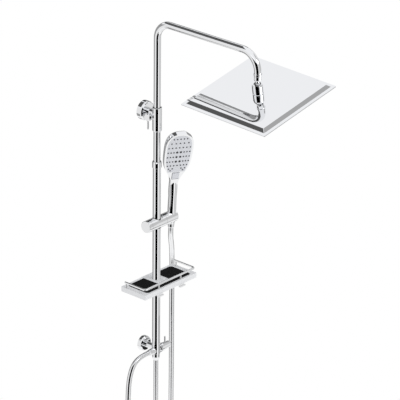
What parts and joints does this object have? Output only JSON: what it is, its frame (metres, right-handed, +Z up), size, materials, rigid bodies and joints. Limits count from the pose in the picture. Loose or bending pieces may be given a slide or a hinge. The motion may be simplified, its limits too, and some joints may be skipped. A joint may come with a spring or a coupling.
{
  "type": "shower column",
  "caption": "Wall-mounted rainfall shower column: telescopic riser, square overhead rose on a ball joint, sliding hand shower with hose, storage shelf and diverter.",
  "frame": {"origin": "centre of the upper wall plate's back face, on the wall plane", "axes": "+Z up, +Y into the wall, +X to the right seen from the room"},
  "size_m": [0.2942, 0.572, 1.565],
  "materials": {
    "chrome": "polished",
    "tray_silver": "gloss",
    "brass": "satin",
    "steel": "brushed",
    "black_plastic": "matte",
    "rubber_seal": "matte",
    "grey_silicone": "matte",
    "grey_plastic": "satin",
    "mat_black": "matte"
  },
  "bodies": {
    "column": {"upper_wall_plate": "steel", "lower_wall_plate": "steel", "upper_rosette": "chrome", "lower_rosette": "chrome", "upper_bracket": "chrome", "stem_grub_screws": "steel", "bracket_bush": "black_plastic", "lower_tube": "chrome", "collar_nut": "chrome", "collar_seal": "rubber_seal", "diverter_body": "chrome", "diverter_cartridge": "black_plastic", "inlet_nipple": "brass", "check_valve": "black_plastic", "outlet_nipple": "brass", "inlet_nut": "chrome", "hand_hose_nut_low": "chrome", "hand_hose": "chrome", "supply_hose": "chrome", "supply_nut": "chrome", "supply_washer": "rubber_seal"},
    "riser_guide": {"riser_guide_bush": "black_plastic", "riser_o_ring": "rubber_seal"},
    "riser": {"riser_arm": "chrome", "arm_end_collar": "chrome", "arm_ball": "chrome"},
    "seat_inner": {"ball_seat_inner": "black_plastic"},
    "seat_outer": {"ball_seat_outer": "black_plastic"},
    "head": {"ball_nut": "chrome", "head_socket": "brass", "head_top_shell": "chrome", "head_spray_plate": "steel", "head_nozzle_mat": "grey_silicone"},
    "bracket_lock": {"bracket_knob": "chrome", "bracket_lever_pin": "chrome", "bracket_clamp_screw": "steel"},
    "slider": {"slider_body": "chrome", "slider_bush": "black_plastic", "holder_pin": "steel"},
    "slider_lock": {"slider_knob": "chrome", "slider_clamp_screw": "steel"},
    "holder": {"handset_holder": "chrome"},
    "handset": {"handset_shell": "chrome", "handset_face": "grey_plastic", "handset_nozzles": "grey_silicone", "handset_jets": "black_plastic", "hand_hose_nut_top": "chrome"},
    "button": {"handset_button": "grey_plastic"},
    "diverter_lever": {"diverter_handle": "chrome", "diverter_spindle": "brass", "diverter_lever_pin": "chrome", "handle_grub_screw": "steel"},
    "shelf": {"shelf_tray": "tray_silver", "shelf_mat": "mat_black", "shelf_centre_plate": "tray_silver", "shelf_clamp_sleeve": "black_plastic", "shelf_clamp_screw": "steel", "shelf_rail": "chrome", "rail_screws": "steel", "shelf_hooks": "chrome"}
  },
  "joints": [
    {"name": "riser_slide", "type": "slide", "parent": "column", "child": "riser_guide", "axis": [0, 0, 1], "range_m": [-0.15, 0.1]},
    {"name": "arm_swivel", "type": "hinge", "parent": "riser_guide", "child": "riser", "pos_m": [0, -0.053, 0], "axis": [0, 0, 1], "range_deg": [-60, 60]},
    {"name": "head_swivel", "type": "hinge", "parent": "riser", "child": "seat_inner", "pos_m": [0, -0.422, 0.182], "axis": [0, 0, 1], "continuous": true},
    {"name": "head_tilt_side", "type": "hinge", "parent": "seat_inner", "child": "seat_outer", "pos_m": [0, -0.422, 0.182], "axis": [0, 1, 0], "range_deg": [-6, 20]},
    {"name": "head_tilt_front", "type": "hinge", "parent": "seat_outer", "child": "head", "pos_m": [0, -0.422, 0.182], "axis": [1, 0, 0], "range_deg": [-15, 11]},
    {"name": "bracket_lock_turn", "type": "hinge", "parent": "column", "child": "bracket_lock", "pos_m": [0, -0.035, -0.009], "axis": [1, 0, 0], "range_deg": [-90, 20]},
    {"name": "slider_height", "type": "slide", "parent": "column", "child": "slider", "axis": [0, 0, 1], "range_m": [-0.06, 0.12], "deforming": ["hand_hose"]},
    {"name": "slider_lock_turn", "type": "hinge", "parent": "slider", "child": "slider_lock", "pos_m": [0, -0.053, -0.333], "axis": [1, 0, 0], "range_deg": [-90, 90]},
    {"name": "holder_tilt", "type": "hinge", "parent": "slider", "child": "holder", "pos_m": [0, -0.053, -0.333], "axis": [1, 0, 0], "range_deg": [0, 45], "deforming": ["hand_hose"]},
    {"name": "handset_lift", "type": "slide", "parent": "holder", "child": "handset", "axis": [0, -0.0523, 0.9986], "range_m": [0, 0.05], "deforming": ["hand_hose"]},
    {"name": "button_press", "type": "slide", "parent": "handset", "child": "button", "axis": [0.4841, 0.8242, 0.2939], "range_m": [0, 0.0025], "stiffness_N_per_m": 400},
    {"name": "diverter_turn", "type": "hinge", "parent": "column", "child": "diverter_lever", "pos_m": [0, -0.053, -0.736], "axis": [1, 0, 0], "range_deg": [0, 90]},
    {"name": "shelf_height", "type": "slide", "parent": "column", "child": "shelf", "axis": [0, 0, 1], "range_m": [-0.15, 0.04]}
  ]
}
